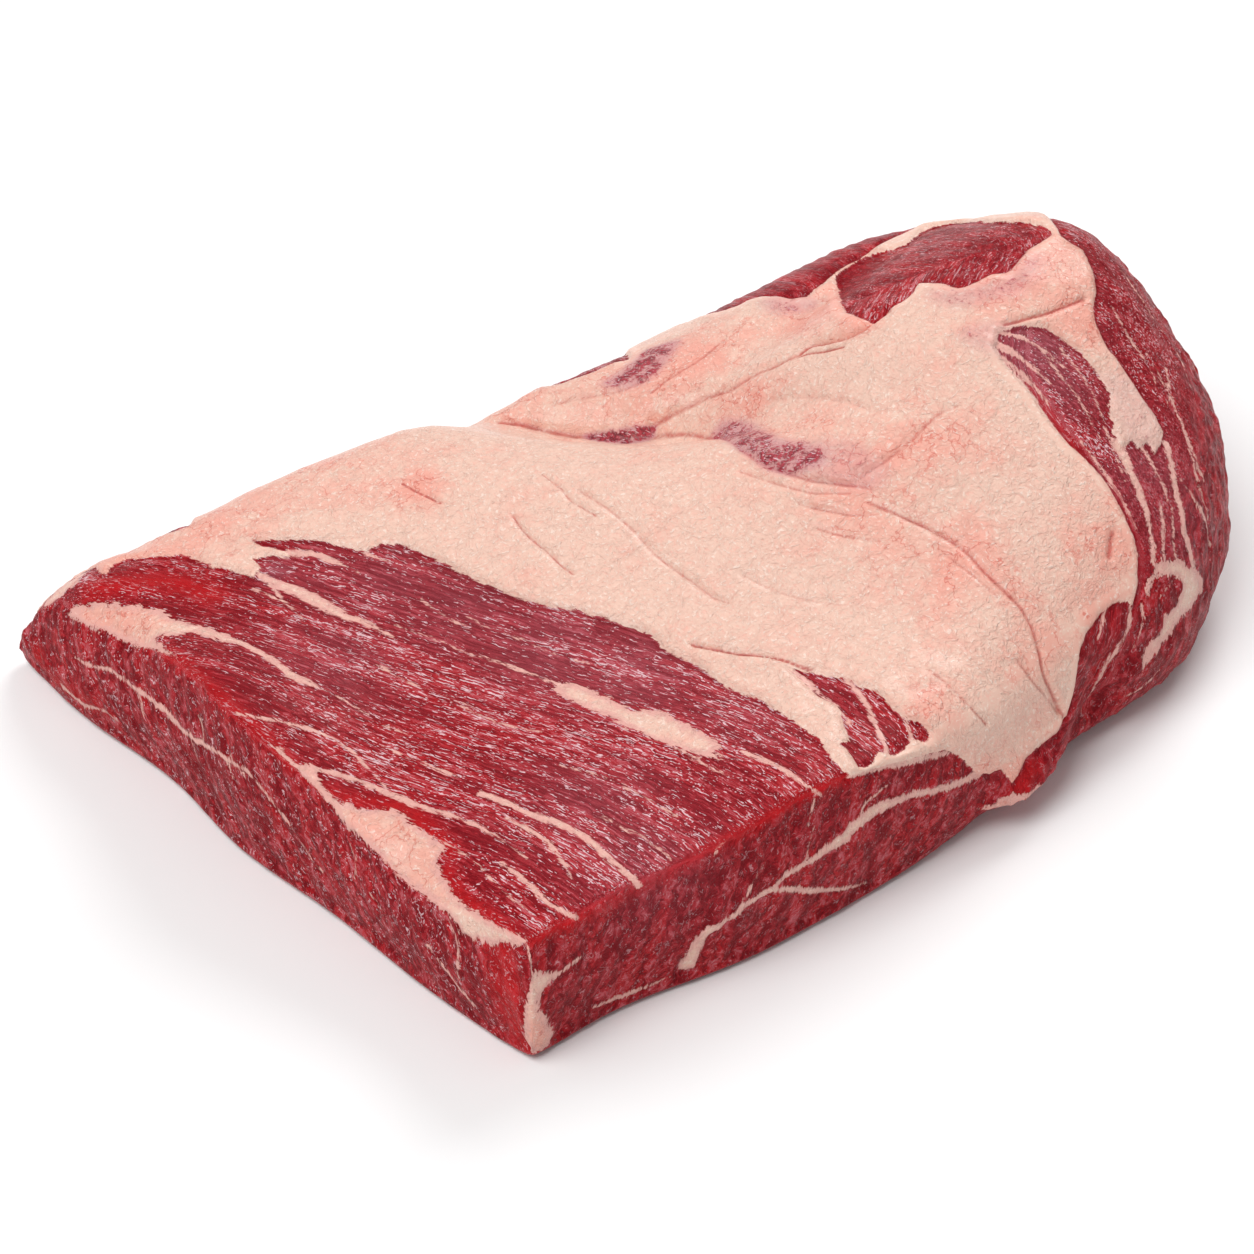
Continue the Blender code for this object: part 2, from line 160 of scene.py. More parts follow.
# Streaks and seams of fat: widths (mm) at the start, middle and end, then the line.
FAT_STREAKS = {
    "top of the flat": (
        ((3.0, 2.6, 0.3), (286, 549), (310, 551), (334, 559), (360, 570)),
        ((2.4, 5.6, 0.6), (250, 566), (276, 580), (296, 588), (320, 600), (346, 613), (368, 620),
         (392, 633)),
        ((1.6, 1.2, 0.4), (268, 577), (277, 590), (290, 604), (302, 614)),
        ((1.0, 0.8, 0.3), (252, 585), (270, 592), (284, 600)),
        ((1.6, 1.6, 0.4), (362, 547), (374, 553), (390, 559)),
        ((5.0, 3.2, 3.0), (188, 623), (212, 630), (236, 637), (256, 646), (272, 656), (284, 664)),
        ((2.8, 3.8, 0.4), (280, 662), (292, 671), (306, 678), (328, 688)),
        ((0.5, 0.5, 0.2), (326, 687), (343, 696), (369, 710)),
        ((0.5, 1.3, 0.3), (421, 596), (433, 606), (450, 616), (471, 627)),
        ((0.3, 0.6, 0.3), (466, 614), (498, 628), (525, 638), (552, 649), (588, 660)),
        ((0.4, 1.0, 1.6), (395, 622), (431, 635), (471, 651), (498, 659), (525, 669), (558, 681)),
        ((0.4, 1.8, 0.3), (376, 661), (386, 667), (396, 672)),
        ((0.3, 0.5, 0.2), (396, 672), (420, 684), (450, 694), (478, 704)),
        ((2.6, 2.4, 1.2), (743, 747), (764, 756), (786, 768), (805, 781), (823, 797)),
        ((1.4, 1.2, 0.3), (676, 744), (700, 758), (728, 771)),
        ((1.6, 1.4, 0.4), (236, 712), (262, 715), (290, 720), (322, 731), (348, 745), (368, 766),
         (386, 784)),
        ((2.0, 1.9, 0.5), (313, 766), (344, 773), (372, 784), (406, 798), (442, 810), (473, 821),
         (499, 835), (527, 855)),
        ((2.6, 2.8, 1.8), (480, 790), (498, 796), (529, 810), (555, 818), (583, 832), (602, 849),
         (622, 866), (641, 887)),
        ((1.8, 1.8, 0.5), (507, 815), (529, 827), (549, 841), (566, 863), (574, 880)),
        ((0.6, 2.2, 1.8), (500, 859), (518, 872), (534, 886), (549, 900), (566, 909), (580, 919)),
        ((0.6, 2.4, 0.4), (432, 764), (445, 768), (459, 774)),
        ((0.3, 0.7, 0.3), (383, 742), (408, 754), (434, 765)),
        ((0.3, 0.9, 0.3), (383, 720), (396, 725), (410, 733)),
        ((0.3, 0.6, 0.3), (420, 690), (455, 701), (500, 720), (540, 729)),
        ((0.3, 0.5, 0.3), (560, 762), (600, 772), (640, 792), (676, 812)),
        ((0.3, 0.7, 0.4), (600, 812), (640, 832), (672, 856)),
        ((0.3, 0.6, 0.4), (438, 838), (470, 856), (498, 884), (528, 908)),
    ),
    "lobes at the end of the fat": (
        ((2.4, 1.8, 0.6), (792, 667), (806, 678), (822, 692), (838, 706), (852, 722)),
        ((2.2, 1.8, 2.0), (845, 674), (856, 687), (866, 701), (881, 732), (890, 755)),
        ((1.8, 1.3, 1.8), (878, 687), (892, 700), (903, 714), (915, 738), (919, 750)),
        ((1.6, 4.2, 2.2), (852, 777), (868, 773), (886, 766), (905, 764), (930, 759), (952, 756)),
        ((1.0, 2.0, 1.0), (848, 760), (862, 770), (884, 764), (900, 756), (916, 751)),
    ),
    "cut end": (
        ((0.8, 2.6, 1.0), (71, 659), (88, 667), (107, 672), (126, 686), (145, 700), (163, 713),
         (177, 729), (193, 742), (212, 753), (228, 764), (244, 774), (260, 793), (270, 806),
         (287, 828)),
        ((0.9, 0.7, 0.3), (287, 828), (297, 847), (306, 862), (317, 875)),
        ((1.4, 1.1, 0.3), (132, 691), (138, 704), (141, 718)),
        ((1.3, 1.0, 0.5), (164, 717), (178, 731), (188, 743), (195, 764)),
        ((0.5, 1.1, 1.2), (192, 717), (198, 728), (199, 742)),
        ((1.4, 1.0, 0.3), (222, 761), (227, 772), (230, 784)),
        ((1.4, 1.2, 0.6), (226, 758), (236, 770), (241, 779)),
        ((2.6, 2.2, 0.4), (60, 690), (78, 705), (101, 715), (114, 725)),
        ((0.3, 0.8, 0.3), (364, 893), (376, 910), (388, 928)),
        ((0.4, 1.2, 1.6), (424, 947), (434, 961), (446, 978), (458, 992), (472, 1008)),
        ((0.5, 1.2, 0.6), (444, 922), (452, 936), (456, 955), (456, 982)),
        ((0.3, 0.7, 0.3), (346, 846), (352, 862), (350, 880)),
    ),
    "near side": (
        ((6.4, 4.4, 2.4), (690, 968), (697, 954), (707, 937), (722, 928), (738, 918)),
        ((2.6, 2.6, 5.0), (736, 920), (749, 906), (774, 893), (792, 876), (813, 863), (835, 848),
         (850, 837)),
        ((4.0, 6.4, 2.6), (844, 841), (856, 830), (868, 820), (887, 808), (904, 801)),
        ((3.0, 2.8, 4.0), (900, 803), (918, 796), (940, 792), (962, 786), (983, 776)),
        ((2.0, 1.1, 0.6), (862, 823), (866, 810), (874, 800), (890, 787)),
        ((1.2, 0.9, 0.3), (744, 908), (750, 896), (756, 884), (768, 866)),
        ((2.6, 2.4, 1.2), (776, 893), (795, 892), (817, 893), (847, 891), (868, 887)),
        ((1.4, 0.7, 0.3), (811, 864), (811, 851), (817, 830)),
        ((0.5, 0.8, 0.3), (716, 858), (720, 848), (728, 838)),
        ((0.5, 0.8, 0.3), (818, 800), (816, 812), (812, 828)),
        ((2.2, 1.2, 0.4), (548, 984), (562, 975), (578, 963), (590, 955)),
        ((1.0, 2.0, 0.5), (596, 1010), (640, 994), (672, 980)),
    ),
    "thick end": (
        ((5.0, 2.6, 1.6), (1119, 440), (1130, 464), (1141, 487), (1150, 514), (1154, 534),
         (1157, 566)),
        ((2.0, 1.3, 0.6), (1141, 438), (1150, 452), (1157, 466), (1165, 482), (1171, 501)),
        ((3.0, 2.4, 3.0), (1168, 440), (1173, 455), (1179, 489), (1186, 515), (1190, 535),
         (1197, 566)),
        ((0.6, 1.5, 0.6), (1170, 386), (1184, 420), (1197, 452), (1208, 480)),
        ((0.6, 1.6, 0.8), (1184, 478), (1203, 508), (1212, 532), (1216, 548)),
        ((0.4, 0.9, 0.3), (1124, 268), (1140, 290), (1156, 312), (1168, 330)),
        ((0.3, 1.0, 0.3), (1112, 300), (1128, 330), (1146, 356), (1158, 380)),
        ((0.3, 0.9, 0.3), (1176, 340), (1188, 366), (1197, 392)),
        ((0.5, 1.0, 0.4), (1040, 344), (1062, 372), (1082, 400), (1102, 436)),
        ((0.4, 0.9, 0.4), (1062, 346), (1084, 374), (1100, 404), (1112, 440), (1128, 480)),
        ((0.4, 1.1, 0.5), (1082, 440), (1106, 470), (1124, 498), (1140, 530)),
        ((0.8, 1.6, 1.2), (1163, 500), (1166, 524), (1167, 545), (1168, 562)),
        ((0.6, 1.4, 1.2), (1175, 500), (1177, 524), (1178, 545), (1180, 560)),
        ((1.6, 1.8, 0.6), (1134, 604), (1133, 624), (1122, 648), (1109, 669), (1096, 693),
         (1085, 715)),
        ((0.8, 1.0, 0.3), (1110, 609), (1106, 622), (1101, 640)),
        ((0.9, 1.2, 0.4), (1145, 606), (1146, 624), (1138, 650)),
        ((0.3, 0.9, 0.3), (1128, 700), (1146, 690), (1164, 672)),
        ((4.0, 2.2, 0.3), (984, 336), (1006, 346), (1030, 362), (1052, 380)),
        ((3.2, 1.8, 0.3), (990, 350), (1012, 362), (1034, 382), (1050, 402)),
        ((2.4, 1.2, 0.3), (992, 328), (1020, 334), (1046, 348), (1068, 366)),
        ((1.6, 0.9, 0.4), (1000, 356), (1024, 380), (1046, 412), (1070, 446), (1086, 470)),
        ((0.3, 0.9, 0.3), (1164, 598), (1172, 588), (1180, 580)),
        ((0.8, 2.2, 0.5), (1110, 404), (1118, 420), (1126, 444), (1136, 470)),
        ((0.4, 1.2, 0.5), (1150, 352), (1172, 392), (1188, 432), (1202, 480), (1212, 520)),
        ((0.3, 1.4, 0.3), (1168, 362), (1172, 382), (1170, 402)),
        ((0.4, 1.0, 0.4), (1176, 300), (1196, 340), (1208, 388)),
    ),
    "out of the photograph": (
        ((1.0, 3.0, 1.0), (0.18, 0.06, 0.08), (0.196, 0.045, 0.06), (0.209, 0.01, 0.045),
         (0.208, -0.03, 0.04)),
        ((1.0, 2.0, 0.6), (0.168, 0.075, 0.07), (0.19, 0.062, 0.05), (0.206, 0.03, 0.028),
         (0.207, -0.01, 0.024)),
        ((0.8, 1.6, 0.6), (0.186, 0.02, 0.108), (0.201, -0.008, 0.085), (0.2, -0.05, 0.075)),
        ((1.0, 4.0, 1.2), (-0.2, 0.16, 0.016), (-0.15, 0.157, 0.02), (-0.095, 0.142, 0.016),
         (-0.04, 0.128, 0.022), (0.02, 0.116, 0.026), (0.08, 0.104, 0.03), (0.13, 0.096, 0.04),
         (0.165, 0.082, 0.044)),
        ((1.4, 1.2, 0.3), (-0.11, 0.146, 0.018), (-0.098, 0.144, 0.032), (-0.08, 0.138, 0.04)),
        ((2.0, 1.4, 0.3), (0.03, 0.114, 0.027), (0.045, 0.11, 0.044), (0.07, 0.104, 0.054)),
        ((1.4, 1.2, 0.4), (-0.03, 0.126, 0.022), (-0.012, 0.122, 0.01), (0.01, 0.118, 0.004)),
        ((1.6, 1.4, 0.3), (0.105, 0.1, 0.034), (0.118, 0.098, 0.054), (0.14, 0.088, 0.066)),
        ((1.5, 5.0, 1.5), (-0.16, 0.11, 0), (-0.12, 0.04, 0), (-0.105, -0.03, 0),
         (-0.06, -0.11, 0)),
        ((2.0, 7.0, 2.0), (0.15, 0.06, 0), (0.08, 0.02, 0), (0.03, -0.05, 0), (0.02, -0.12, 0)),
        ((1.0, 3.0, 1.0), (-0.06, 0.11, 0), (-0.03, 0.05, 0), (-0.02, -0.01, 0), (0.01, -0.06, 0)),
        ((1.0, 3.0, 1.0), (0.11, -0.11, 0), (0.12, -0.05, 0), (0.1, 0.0, 0), (0.07, 0.08, 0)),
    ),
}

# Creases in the fat: depth and width (mm) and redness, darkened too as painted shade, then the
# line.
CREASES = {
    "under the island": ((1.8, 1.1, 1.0), (692, 643), (713, 647), (740, 652), (771, 655),
        (811, 667)),
    "valley": ((2.2, 2.2, 0.7), (497, 419), (530, 424), (560, 431), (590, 434), (625, 438),
        (660, 434), (690, 433), (716, 435)),
    "valley's far side": ((1.6, 1.8, 0.6), (716, 435), (740, 446), (760, 461), (780, 469),
        (805, 477), (838, 482), (870, 486)),
    "fold up the dome": ((2.4, 2.2, 0.6), (652, 424), (680, 410), (710, 394), (731, 386),
        (748, 375), (775, 362), (798, 349)),
    "crevice": ((4.0, 2.2, 1.0), (798, 349), (812, 341), (828, 338), (849, 332), (868, 321),
        (884, 309)),
    "crevice's second lip": ((1.4, 1.2, 0.9), (790, 357), (806, 352), (822, 350), (842, 345)),
    "under the dome 1": ((1.2, 1.4, 0.5), (796, 502), (825, 509), (855, 514), (880, 512)),
    "vein line": ((1.7, 1.6, 0.7), (868, 501), (895, 512), (930, 528), (962, 547), (988, 573),
        (1007, 591), (1023, 608), (1034, 629), (1042, 653), (1047, 677), (1058, 701), (1067, 717)),
    "beside the vein line": ((0.8, 1.2, 0.5), (944, 552), (962, 566), (980, 580), (998, 596)),
    "dome crease": ((1.3, 1.8, 0.5), (860, 476), (890, 456), (916, 434), (935, 415), (957, 404)),
    "dome crease 2": ((0.9, 1.6, 0.3), (770, 400), (800, 396), (840, 400), (880, 412)),
    "flat crease 1": ((1.0, 1.1, 0.6), (512, 514), (526, 533), (546, 550), (561, 564), (573, 573)),
    "flat crease 2": ((1.1, 1.3, 0.5), (581, 490), (614, 512), (635, 531), (654, 552), (674, 568),
        (693, 581), (712, 595), (728, 601)),
    "flat crease 3": ((0.7, 1.0, 0.6), (542, 473), (561, 488), (571, 500), (596, 515)),
    "below the valley": ((0.9, 1.3, 0.4), (743, 574), (774, 589), (809, 599), (840, 603)),
    "under the dome 2": ((0.9, 1.3, 0.5), (817, 527), (836, 533), (857, 537), (880, 540)),
    "below the stain": ((1.0, 1.4, 0.5), (740, 470), (775, 482), (815, 492), (850, 492)),
    "lobe crease 1": ((1.2, 1.4, 0.5), (1020, 661), (1034, 680), (1047, 696), (1061, 713)),
    "lobe crease 2": ((1.0, 1.2, 0.6), (930, 669), (954, 688), (972, 707), (988, 725)),
    "lobe crease 3": ((0.8, 1.3, 0.3), (960, 640), (985, 668), (1005, 690), (1020, 712)),
    "right dimple": ((1.6, 2.0, 0.8), (1114, 532), (1112, 544), (1111, 556)),
    "band crease": ((1.4, 1.2, 1.0), (1005, 323), (1028, 317), (1054, 310), (1085, 298)),
    "back crease": ((1.2, 1.4, 0.6), (650, 392), (676, 372), (700, 357), (724, 337)),
    "back crease 2": ((0.9, 1.4, 0.5), (560, 402), (590, 396), (620, 390), (644, 380)),
    "left crease": ((0.8, 1.0, 0.9), (402, 482), (412, 488), (424, 494), (440, 502)),
    "left crease 2": ((0.7, 1.3, 0.3), (250, 520), (290, 510), (330, 506), (372, 508)),
    "left crease 3": ((0.7, 1.3, 0.3), (205, 530), (232, 540), (262, 541)),
}

# Places where the fat is stained by the lean or by blood under it: how strong, and
# how soft the border is (mm), then the outline.
STAINS = {
    "central": ((1.0, 3.0), (715, 431), (722, 424), (747, 426), (769, 437), (788, 442), (806, 445),
        (822, 453), (822, 463), (801, 468), (780, 468), (764, 461), (755, 452), (736, 442)),
    "beside the central": ((0.42, 3.5), (806, 445), (838, 440), (870, 452), (886, 472), (872, 486),
        (840, 482), (806, 472)),
    "fan": ((0.42, 3.0), (960, 332), (990, 322), (1030, 330), (1056, 356), (1062, 392),
        (1036, 384), (1006, 358), (976, 346)),
    "pale band": ((0.36, 4.0), (1104, 380), (1130, 376), (1156, 408), (1172, 446), (1136, 446),
        (1118, 420)),
    "near the back": ((1.0, 3.0), (606, 381), (622, 372), (634, 362), (648, 351), (662, 346),
        (675, 341), (668, 354), (654, 371), (638, 380), (620, 383)),
    "slit": ((1.15, 1.0), (584, 433), (614, 431), (654, 426), (652, 433), (641, 438), (624, 440),
        (600, 438)),
    "under the lean window": ((0.5, 4.0), (930, 292), (955, 290), (985, 284), (1010, 276),
        (1030, 256), (1040, 262), (1020, 290), (980, 300), (950, 302)),
    "fold left of the lean": ((0.55, 3.0), (764, 300), (790, 298), (812, 298), (815, 306),
        (795, 312), (770, 310)),
}

# Where the fat is pinker: centre, radius (mm), strength.
BLUSHES = (
    ((1060, 270), 30, 0.9), ((1085, 310), 22, 0.9), ((1010, 285), 22, 0.7), ((960, 565), 24, 0.8),
    ((1040, 640), 20, 0.6), ((1112, 540), 18, 0.8), ((120, 560), 30, 0.9), ((110, 615), 30, 1.0),
    ((180, 535), 24, 0.7), ((260, 490), 30, 0.6), ((340, 460), 30, 0.6), ((420, 488), 12, 0.9),
    ((500, 405), 20, 0.6), ((620, 380), 26, 0.7), ((700, 350), 24, 0.8), ((740, 410), 22, 0.7),
    ((830, 300), 26, 0.9), ((860, 320), 12, 1.0), ((860, 480), 30, 0.7), ((920, 430), 24, 0.6),
    ((900, 520), 24, 0.6), ((370, 830), 24, 0.6), ((430, 860), 20, 0.9), ((1020, 800), 26, 1.0),
    ((540, 1040), 22, 0.6), ((1040, 730), 20, 0.6), ((930, 700), 18, 0.5), ((90, 705), 20, 0.9),
    ((320, 800), 18, 0.6), ((790, 440), 24, 0.6), ((670, 360), 22, 0.6), ((1100, 610), 14, 0.8),
)

# Thin violet film that dulls the lean, partly a real membrane and partly painted sheen: centre,
# radius (mm), strength.
FILMS_AND_SHEEN = (
    ((560, 640), 34, 0.7), ((640, 665), 30, 0.7), ((740, 700), 30, 0.5), ((470, 600), 34, 0.6),
    ((390, 580), 26, 0.6), ((320, 570), 18, 0.5), ((1030, 350), 26, 1.0), ((1060, 378), 20, 0.7),
    ((600, 800), 30, 0.5), ((640, 850), 24, 0.6), ((340, 650), 30, 0.5), ((1150, 470), 24, 0.6),
    ((1180, 520), 20, 0.5), ((275, 567), 8, 1.0),
)

# The bright rim along the top of the two cuts, and other places cut fresh: width
# (mm), then the line.
RIMS = {
    "cut end": (3.8, (165, 651), (190, 668), (207, 683), (226, 700), (245, 717), (262, 733),
        (291, 763)),
    "near side": (3.6, (530, 941), (560, 929), (587, 918), (641, 891), (680, 868), (710, 849),
        (763, 822), (809, 795), (851, 776)),
    "beside the fat": (2.6, (1026, 380), (1046, 408), (1066, 436), (1084, 458)),
    "corner": (9.0, (498, 955), (504, 985), (508, 1015), (520, 1044)),
    "left lean": (7.0, (90, 590), (130, 580), (170, 578), (210, 590)),
    "left tip": (5.0, (32, 655), (50, 680), (90, 708)),
    "under the flap": (5.0, (1022, 792), (1030, 780), (1036, 770)),
    "along the strip": (3.5, (330, 790), (360, 800), (398, 803), (430, 828), (450, 850)),
    "below the strip": (3.0, (446, 870), (460, 893), (486, 912), (510, 928)),
}

# Upright corners that the knife left softer: place and reach, in metres.
SOFT_CORNERS = ((-0.196, -0.133, 0.016), (-0.208, 0.150, 0.020))

# How the grain runs over the flat, and where and how fast it bends.
GRAIN_SLOPE = -0.40
GRAIN_BENDS_AT_Y = -0.060
GRAIN_BEND = 0.46
GRAIN_BEND_LENGTH = 0.09

# How far the bundles lean over on the cuts.
CUT_END_LEAN = 0.44
NEAR_SIDE_LEAN = 0.25
FAR_SIDE_LEAN = 0.5
# The far side and the thick end have noise of their own this far off.
FAR_SIDE_OFFSET = 400.0
POINT_OFFSET = 700.0
# Along an edge whose ends differ by more than this, the grain changes its direction.
GRAIN_JUMP = 12.0
# The thick end has a grain and a finish of its own from here on, in metres along x.
POINT_GRAIN_FROM = 0.03
POINT_FINISH_FROM = 0.05
# The line over the thick end that its grain follows.
POINT_GRAIN = (
    (0.176, 0.06, 0.086), (1060, 232), (1040, 300), (1030, 360), (1080, 440), (1125, 500),
    (1146, 560), (1138, 620), (1106, 690), (1062, 760), (1020, 820), (0.01, -0.152, 0.004),
)

# A normal's upright part where a cut begins and ends, and where the grain changes over.
CUT_BELOW = (0.55, 0.75)
WALL_BELOW = 0.62
# The sideways part that tells which side a steep place is on, and the downward part of
# the foot.
FACES_END = 0.6
FACES_SIDE = 0.5
FACES_DOWN = 0.9

# Distances and reaches in millimetres: far from everything, the inside of the fat,
# and how near a streak, a border or a crease the mesh is finest.
FAR = 20.0
DEEP_FAT = 7.0
NEAR_STREAK = 1.2
NEAR_BORDER = 0.9
NEAR_CREASE = 2.2
# Rounds of cutting edges, of smoothing all, and of smoothing the corners.
REFINE_ROUNDS = 3
SMOOTH_ROUNDS = 4
CORNER_ROUNDS = 60
# How many pairs of a place and a piece of line are worked out at a time.
PAIRS_AT_ONCE = 3e6

# Noise of the relief: lumps (waves in a metre, share, offset) and fibres (length and
# thickness in millimetres, share).
LUMP_WAVES = (
    (38.0, 1.0, (0.0, 0.0, 0.0)), (85.0, 0.6, (7.0, 3.0, 1.0)), (190.0, 0.35, (0.0, 0.0, 0.0)),
)
FIBRE_WAVES = ((24.0, 5.0, 1.0), (12.0, 2.6, 0.7))
# The groove in the lean beside the fat, how high a thin streak stands, and the ridge
# along a rim: its height and how much of it the lumps make.
GROOVE = 0.5
GROOVE_AT = 1.2
GROOVE_WIDTH = 1.3
STREAK_HEIGHT = 0.25
RIDGE_HEIGHT = 0.15
RIDGE_LUMPS = 1.1
RIDGE_WIDTH = 2.0
# Where the lip, a streak and the fat as a whole rise, in millimetres from the border.
LIP_SPAN = (-0.8, 2.4)
STREAK_SPAN = (-0.4, 0.8)
FAT_SPAN = (-1.0, 1.5)
# The relief fades to nothing between these heights above the foot.
FOOT_FADE = (0.5, 6.0)

# How many flecks the near side, the thick end and the top of the lump there have, the flecks
# being partly marbling and partly painted glints, fewer on the near side as painted shade;
# and how much the thick end is like a cut.
NEAR_MARBLING_AND_GLINTS = 0.35
POINT_MARBLING_AND_GLINTS = 0.45
TOP_MARBLING_AND_GLINTS = 0.90
TOP_HEIGHT = 95.0 * MM
POINT_WALL = 0.45

# Colours of small things in the fat, among them a painted glint on the wrinkles, a painted
# highlight along the border, and the creases' red, darkened as painted shade.
VEIN_HAZE = (0.82, 0.34, 0.26)
VEIN = (0.62, 0.11, 0.08)
FAT_GLINT = (0.95, 0.80, 0.71)
LIP_HIGHLIGHT = (0.90, 0.68, 0.58)
CREASE_RED_AND_SHADE = (0.50, 0.075, 0.060)
STAIN_EDGE = (0.56, 0.25, 0.29)
STAIN_DARK = (0.15, 0.004, 0.014)
STAIN_RED = (0.42, 0.035, 0.055)

# What the mesh keeps for the finish, beside the grain.
MARKS = (
    "cap", "patch", "streak", "wall", "marbling", "stain", "blush", "film", "rim", "crease",
    "seam",
)


class BeefSizes(bpy.types.PropertyGroup):
    cell: FloatProperty(
        name="Cell", description="Longest edge of the lean's mesh", default=2.4 * MM,
        unit="LENGTH",
    )
    fat_cell: FloatProperty(
        name="Fat cell", description="Longest edge of the mesh inside the fat",
        default=4.8 * MM, unit="LENGTH",
    )
    streak_cell: FloatProperty(
        name="Streak cell", description="Longest edge of the mesh along a thin streak",
        default=1.3 * MM, unit="LENGTH",
    )
    foot_cell: FloatProperty(
        name="Foot cell", description="Grid of the flat underside", default=12.0 * MM,
        unit="LENGTH",
    )
    lip: FloatProperty(
        name="Lip", description="How far the fat stands over the lean beside it",
        default=1.5 * MM, unit="LENGTH",
    )
    lumps: FloatProperty(
        name="Lumps", description="Height of the soft lumps", default=0.8 * MM, unit="LENGTH",
    )
    grain: FloatProperty(
        name="Grain", description="Depth of the lean's grain", default=0.50 * MM, unit="LENGTH",
    )


class BeefColours(bpy.types.PropertyGroup):
    lean: FloatVectorProperty(
        name="Lean", description="Colour of the lean", subtype="COLOR",
        default=(0.400, 0.018, 0.026),
    )
    # Partly the lean's dark tone between the fibres, partly painted shade there; also the painted
    # shadow beside the fat's border.
    dark_lean_and_shade: FloatVectorProperty(
        name="Dark lean", description="Colour between the fibres", subtype="COLOR",
        default=(0.210, 0.003, 0.008),
    )
    # Partly the lean's pale tone on the raised fibres, partly painted light on them.
    pale_and_lit_lean: FloatVectorProperty(
        name="Light lean", description="Colour of the raised fibres", subtype="COLOR",
        default=(0.620, 0.160, 0.190),
    )
    bright_lean: FloatVectorProperty(
        name="Bright lean", description="Colour of a fresh cut", subtype="COLOR",
        default=(0.520, 0.009, 0.012),
    )
    # The flecks' colour: partly fine marbling, partly painted glints.
    fleck_and_glint: FloatVectorProperty(
        name="Fleck", description="Colour of the fine marbling", subtype="COLOR",
        default=(0.88, 0.62, 0.66),
    )
    fat: FloatVectorProperty(
        name="Fat", description="Colour of the fat", subtype="COLOR",
        default=(0.835, 0.555, 0.450),
    )
    pink_fat: FloatVectorProperty(
        name="Pink fat", description="Colour of the fat near lean and blood", subtype="COLOR",
        default=(0.86, 0.400, 0.320),
    )
    thin_fat: FloatVectorProperty(
        name="Thin fat", description="Colour of the thin streaks", subtype="COLOR",
        default=(0.77, 0.400, 0.350),
    )
    # The film's colour: partly a thin membrane, partly painted sheen.
    film: FloatVectorProperty(
        name="Film", description="Colour of the thin film on the lean", subtype="COLOR",
        default=(0.42, 0.17, 0.22),
    )


class StudioLight(bpy.types.PropertyGroup):
    key: FloatProperty(name="Key", description="Main light", default=58.0, unit="POWER")
    side: FloatProperty(
        name="Side", description="Light on the thick end", default=38.0, unit="POWER",
    )
    sky: FloatProperty(name="Sky", description="Even light from all round", default=0.38)
    floor: FloatVectorProperty(
        name="Floor", description="Colour of the floor", subtype="COLOR",
        default=(0.94, 0.94, 0.94),
    )


def camera_axes():
    """The camera's place and its right, up and back directions."""
    azimuth = math.radians(CAMERA_AZIMUTH)
    elevation = math.radians(CAMERA_ELEVATION)
    back = Vector((
        math.sin(azimuth) * math.cos(elevation),
        -math.cos(azimuth) * math.cos(elevation),
        math.sin(elevation),
    ))
    right = Vector((math.cos(azimuth), math.sin(azimuth), 0.0))
    return CAMERA_TARGET + back * CAMERA_DISTANCE, right, back.cross(right), back


def smooth_step(values, low, high):
    """0 below low, 1 above high, and an even curve between."""
    share = np.clip((values - low) / (high - low), 0.0, 1.0)
    return share * share * (3.0 - 2.0 * share)


def bell(gaps, width):
    """1 where the gap is 0, and falling off over the width."""
    return np.exp(-((gaps / width) ** 2))


class Skin:
    """The surface of the meat, on which lines are laid."""

    def __init__(self, mesh):
        self.tree = BVHTree.FromBMesh(mesh)
        self.eye, self.right, self.up, self.back = camera_axes()

    def place(self, point):
        """A place on the surface for a point of a line."""
        if len(point) == 3:
            return self.tree.find_nearest(Vector(point))[0]
        scale = SENSOR / LENS / PHOTO_SIDE
        across = (point[0] - PHOTO_SIDE / 2) * scale
        down = (point[1] - PHOTO_SIDE / 2) * scale
        ray = (self.right * across - self.up * down - self.back).normalized()
        hit = self.tree.ray_cast(self.eye, ray)[0]
        if hit is not None:
            return hit
        steps = np.linspace(CAMERA_DISTANCE - SEARCH, CAMERA_DISTANCE + SEARCH, SEARCH_STEPS)
        tries = [self.tree.find_nearest(self.eye + ray * float(step)) for step in steps]
        return min(tries, key=lambda found: found[3])[0]

    def line(self, points, closed=False, step=0.002):
        """Points and normals of a smooth line on the surface."""
        stops = [self.place(point) for point in points]
        count = len(stops)
        spans = count if closed else count - 1
        dense = []
        for index in range(spans):
            if closed:
                p0, p1, p2, p3 = (stops[(index + k) % count] for k in (-1, 0, 1, 2))
            else:
                p0 = stops[max(index - 1, 0)]
                p1 = stops[index]
                p2 = stops[index + 1]
                p3 = stops[min(index + 2, count - 1)]
            pieces = max(int((p2 - p1).length / step), 1)
            for piece in range(pieces):
                t = piece / pieces
                dense.append(0.5 * (
                    2 * p1 + (p2 - p0) * t + (2 * p0 - 5 * p1 + 4 * p2 - p3) * t ** 2
                    + (3 * p1 - p0 - 3 * p2 + p3) * t ** 3
                ))
        dense.append(stops[0] if closed else stops[-1])
        laid = [self.tree.find_nearest(point) for point in dense]
        places = np.array([hit[0] for hit in laid])
        normals = np.array([hit[1] for hit in laid])
        if closed:
            middle = places.mean(axis=0)
            arms = places - middle
            area = np.cross(arms[:-1], arms[1:]).sum(axis=0)
            if area @ normals.mean(axis=0) < 0.0:
                places, normals = places[::-1], normals[::-1]
        return places, normals


